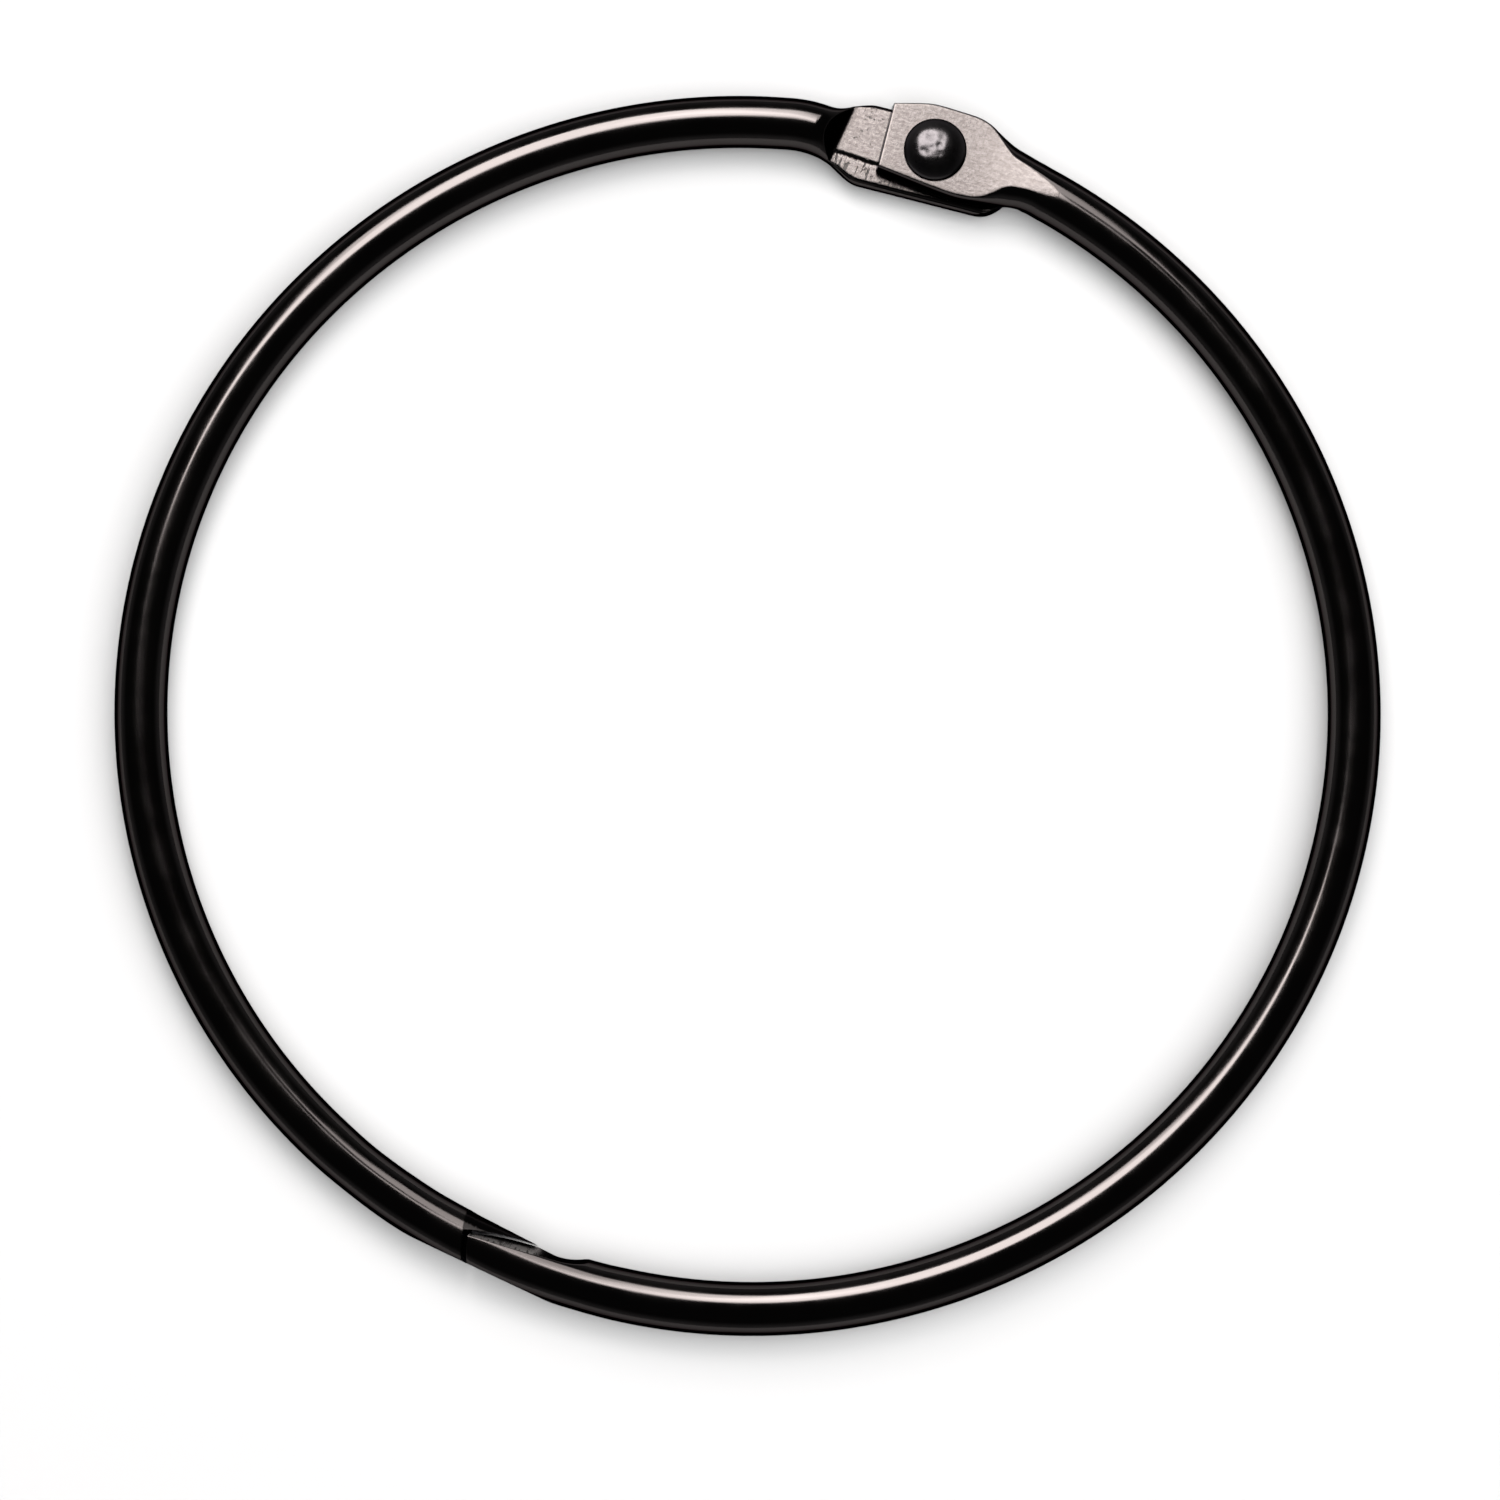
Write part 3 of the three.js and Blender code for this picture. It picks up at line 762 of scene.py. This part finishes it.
# Pairs are the ends of a range that noise moves between.
WIRE_COLOURS = (rgb(0.037, 0.0335, 0.0325), rgb(0.045, 0.041, 0.040))
WIRE_ROUGHNESS = (0.11, 0.15)
SATIN_COLOURS = (rgb(0.045, 0.040, 0.038), rgb(0.064, 0.058, 0.056))
SATIN_ROUGHNESS = (0.19, 0.25)
GROUND_COLOUR = rgb(0.22, 0.21, 0.205)
GROUND_ROUGHNESS = 0.62
MARK_COLOUR = rgb(0.004, 0.004, 0.004)
MARK_STRENGTH = 0.7
# painted shade: the black that faces lying in shade are given
PAINTED_SHADE_COLOUR = rgb(0.002, 0.002, 0.002)
RIVET_COLOURS = (rgb(0.030, 0.028, 0.029), rgb(0.040, 0.037, 0.038))
DOME_ROUGHNESS = (0.28, 0.36)
SPOT_ROUGHNESS = (0.2, 0.32)
EDGE_TINT = rgb(0.08, 0.08, 0.1)      # keeps the metal dark where it is seen at a low angle


def plated_wire():
    """Black nickel plating. It is glossy on the drawn wire and satin where dies pressed it. The lap
    face is pitted, the ledge scored across and the facet ground. Painted shade blackens the cut ends,
    the faces at the seam and the inner tongue."""
    n = Nodes("black_nickel")
    finish = n.add("ShaderNodeAttribute", attribute_name="finish").outputs["Fac"]
    painted_shade = n.add("ShaderNodeAttribute", attribute_name="painted_shade").outputs["Fac"]
    pressed = n.ramp(finish, (0, 0), (PRESSED, 1))
    lapped = n.ramp(finish, (PRESSED, 0), (LAPPED, 1))
    scored = n.ramp(finish, (LAPPED, 0), (SCORED, 1))
    ground = n.ramp(finish, (SCORED, 0), (GROUND, 1))
    cloud = n.noise(0.4, 3)
    grain = n.noise(4.5, 6, roughness=0.6)
    fine = n.noise(14, 3)
    pits = n.math("MULTIPLY", lapped, n.ramp(n.noise(2.1, 5, roughness=0.7), (0.57, 0), (0.66, 1)))
    score = n.math("MULTIPLY", scored, n.ramp(n.noise(5, 3, (1, 0.15, 0.15)), (0.5, 0), (0.62, 1)))
    marks = n.math("MAXIMUM", pits, score)
    streaks = n.noise(6, 4, (0.35, 1, 1))
    brushed = n.ramp(n.math("ADD", grain, streaks), (0.75, 0), (1.25, 1))
    satin = n.colours(brushed, *SATIN_COLOURS)
    colour = n.colours(pressed, n.colours(cloud, *WIRE_COLOURS), satin)
    colour = n.colours(ground, colour, GROUND_COLOUR)
    colour = n.colours(n.math("MULTIPLY", marks, MARK_STRENGTH), colour, MARK_COLOUR)
    # painted shade: the colour is mixed towards black by the painted shade mask
    n.feed(n.shader.inputs["Base Color"], n.colours(painted_shade, colour, PAINTED_SHADE_COLOUR))
    n.shader.inputs["Metallic"].default_value = 1.0
    n.shader.inputs["Specular Tint"].default_value = EDGE_TINT
    drawn = n.ramp(cloud, (0.35, WIRE_ROUGHNESS[0]), (0.65, WIRE_ROUGHNESS[1]))
    rolled = n.ramp(grain, (0.3, SATIN_ROUGHNESS[0]), (0.7, SATIN_ROUGHNESS[1]))
    rough = n.between(ground, n.between(pressed, drawn, rolled), GROUND_ROUGHNESS)
    n.feed(n.shader.inputs["Roughness"], rough)
    height = n.math("ADD", grain, n.math("MULTIPLY", fine, 0.25))
    height = n.math("MULTIPLY", height, n.ramp(pressed, (0, 0.08), (1, 1)))
    height = n.math("SUBTRACT", height, marks)
    n.feed(n.shader.inputs["Normal"], n.bump(height, 0.02, 0.3))
    return n.material


def struck_rivet():
    """The same plating on the rivet, rough and a little shinier where the head was struck."""
    n = Nodes("struck_nickel")
    struck = n.add("ShaderNodeAttribute", attribute_name="struck").outputs["Fac"]
    cloud = n.noise(0.8, 3)
    grain = n.noise(3.5, 5, roughness=0.6)
    n.feed(n.shader.inputs["Base Color"], n.colours(cloud, *RIVET_COLOURS))
    n.shader.inputs["Metallic"].default_value = 1.0
    n.shader.inputs["Specular Tint"].default_value = EDGE_TINT
    dome = n.ramp(cloud, (0.3, DOME_ROUGHNESS[0]), (0.7, DOME_ROUGHNESS[1]))
    spot = n.ramp(grain, (0.3, SPOT_ROUGHNESS[0]), (0.7, SPOT_ROUGHNESS[1]))
    n.feed(n.shader.inputs["Roughness"], n.between(struck, dome, spot))
    height = n.math("MULTIPLY", grain, n.ramp(struck, (0, 0.2), (1, 1)))
    n.feed(n.shader.inputs["Normal"], n.bump(height, 0.03, 0.4))
    return n.material


# ---- the object --------------------------------------------------------------------------------
def add_piece(obj, body, node, material):
    shade(obj)
    obj.data.materials.append(material)
    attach(obj, body)
    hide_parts(node)


plate = plated_wire()
for name, half, stations, body, node in (
    ("ring_half_right", RIGHT, right_stations(), "right_half", "half_ring_right"),
    ("ring_half_left", LEFT, left_stations(), "left_half", "half_ring_left"),
):
    half_ring = loft(name, stations)
    bore(half_ring, SHANK_RADIUS + half["hole_gap"])
    add_piece(half_ring, body, node, plate)
add_piece(rivet(), "left_half", "hinge_rivet", struck_rivet())

# ---- studio: camera above and a little to the right, three softboxes, fill, world, floor --------
VIEW_AZIMUTH = math.radians(18.6)
VIEW_ELEVATION = math.radians(81)
VIEW_DISTANCE = 316
AIM = (0.165, -3.05)             # mm to the right and up from the ring's centre
LENS = 114.7
SENSOR_WIDTH = 36
CLIP_START = 0.01

right = Vector((math.cos(VIEW_AZIMUTH), math.sin(VIEW_AZIMUTH), 0))
back = Vector((
    math.cos(VIEW_ELEVATION) * math.sin(VIEW_AZIMUTH),
    -math.cos(VIEW_ELEVATION) * math.cos(VIEW_AZIMUTH),
    math.sin(VIEW_ELEVATION),
))
up = back.cross(right)
centre = Vector(CENTRE)
eye = centre + back * VIEW_DISTANCE * MM
target = centre + (right * AIM[0] + up * AIM[1]) * MM
back = (eye - target).normalized()
right = (right - back * right.dot(back)).normalized()
up = back.cross(right)
camera_data = bpy.data.cameras.new("camera")
camera_data.lens = LENS
camera_data.sensor_width = SENSOR_WIDTH
camera_data.clip_start = CLIP_START
camera = bpy.data.objects.new("camera", camera_data)
camera.matrix_world = Matrix((
    (right[0], up[0], back[0], eye[0]),
    (right[1], up[1], back[1], eye[1]),
    (right[2], up[2], back[2], eye[2]),
    (0, 0, 0, 1),
))
scene = bpy.context.scene
scene.collection.objects.link(camera)
scene.camera = camera
scene.view_settings.view_transform = "Standard"


def light(name, place, size, power, aim=(0, 0, 0), colour=(1, 1, 1)):
    """A rectangular lamp at a place in the photograph's directions, mm from the ring's centre."""
    data = bpy.data.lights.new(name, "AREA")
    data.shape = "RECTANGLE"
    data.size, data.size_y = size[0] * MM, size[1] * MM
    data.energy = power
    data.color = colour
    obj = bpy.data.objects.new(name, data)
    turned = Matrix.Rotation(VIEW_AZIMUTH, 3, "Z")
    obj.location = centre + turned @ Vector(place) * MM
    facing = centre + turned @ Vector(aim) * MM - obj.location
    obj.rotation_euler = facing.to_track_quat("-Z", "Y").to_euler()
    scene.collection.objects.link(obj)
    return obj


# The softboxes make the highlights of the wire and light the flat faces. The fill lights the floor,
# and the metal doesn't show it.
SOFTBOX_COLOUR = (1, 0.97, 0.96)
light("softbox_right", (-45, 220, 315), (180, 250), 1.2, aim=(-45, 100, 0), colour=SOFTBOX_COLOUR)
light("softbox_left", (-76, 224, 324), (180, 240), 1.7, colour=SOFTBOX_COLOUR)
light("softbox_far", (60, 250, 292), (160, 175), 0.55, colour=SOFTBOX_COLOUR)
fill = light("fill", (200, -100, 900), (1400, 1400), 88.0)
fill.visible_glossy = False

# The world glows at the horizon and is almost dark above it.
HORIZON_GLOW = 0.25
SKY_GLOW = 0.03
GLOW_TO = 0.5                    # height of a direction at which the sky is dark
SKY_COLOUR = (0.97, 0.97, 1, 1)
world = bpy.data.worlds.new("studio")
world.use_nodes = True
tree = world.node_tree
direction = tree.nodes.new("ShaderNodeTexCoord")
split = tree.nodes.new("ShaderNodeSeparateXYZ")
glow = tree.nodes.new("ShaderNodeMapRange")
glow.interpolation_type = "SMOOTHSTEP"
glow.inputs["From Min"].default_value = 0
glow.inputs["From Max"].default_value = GLOW_TO
glow.inputs["To Min"].default_value = HORIZON_GLOW
glow.inputs["To Max"].default_value = SKY_GLOW
tree.links.new(direction.outputs["Generated"], split.inputs[0])
tree.links.new(split.outputs["Z"], glow.inputs["Value"])
tree.links.new(glow.outputs[0], tree.nodes["Background"].inputs["Strength"])
tree.nodes["Background"].inputs["Color"].default_value = SKY_COLOUR
scene.world = world

FLOOR_REACH = 2.5                # metres
FLOOR_COLOUR = rgb(0.14, 0.14, 0.14)
floor_mesh = bpy.data.meshes.new("floor")
corners = [(-1, -1), (1, -1), (1, 1), (-1, 1)]
floor_points = [(x * FLOOR_REACH, y * FLOOR_REACH, 0) for x, y in corners]
floor_mesh.from_pydata(floor_points, [], [(0, 1, 2, 3)])
floor = bpy.data.objects.new("floor", floor_mesh)
scene.collection.objects.link(floor)
floor_look = Nodes("pale_floor")
floor_look.shader.inputs["Base Color"].default_value = FLOOR_COLOUR
floor_look.shader.inputs["Roughness"].default_value = 0.8
floor_look.shader.inputs["Specular IOR Level"].default_value = 0.1
floor_mesh.materials.append(floor_look.material)

bpy.context.view_layer.update()
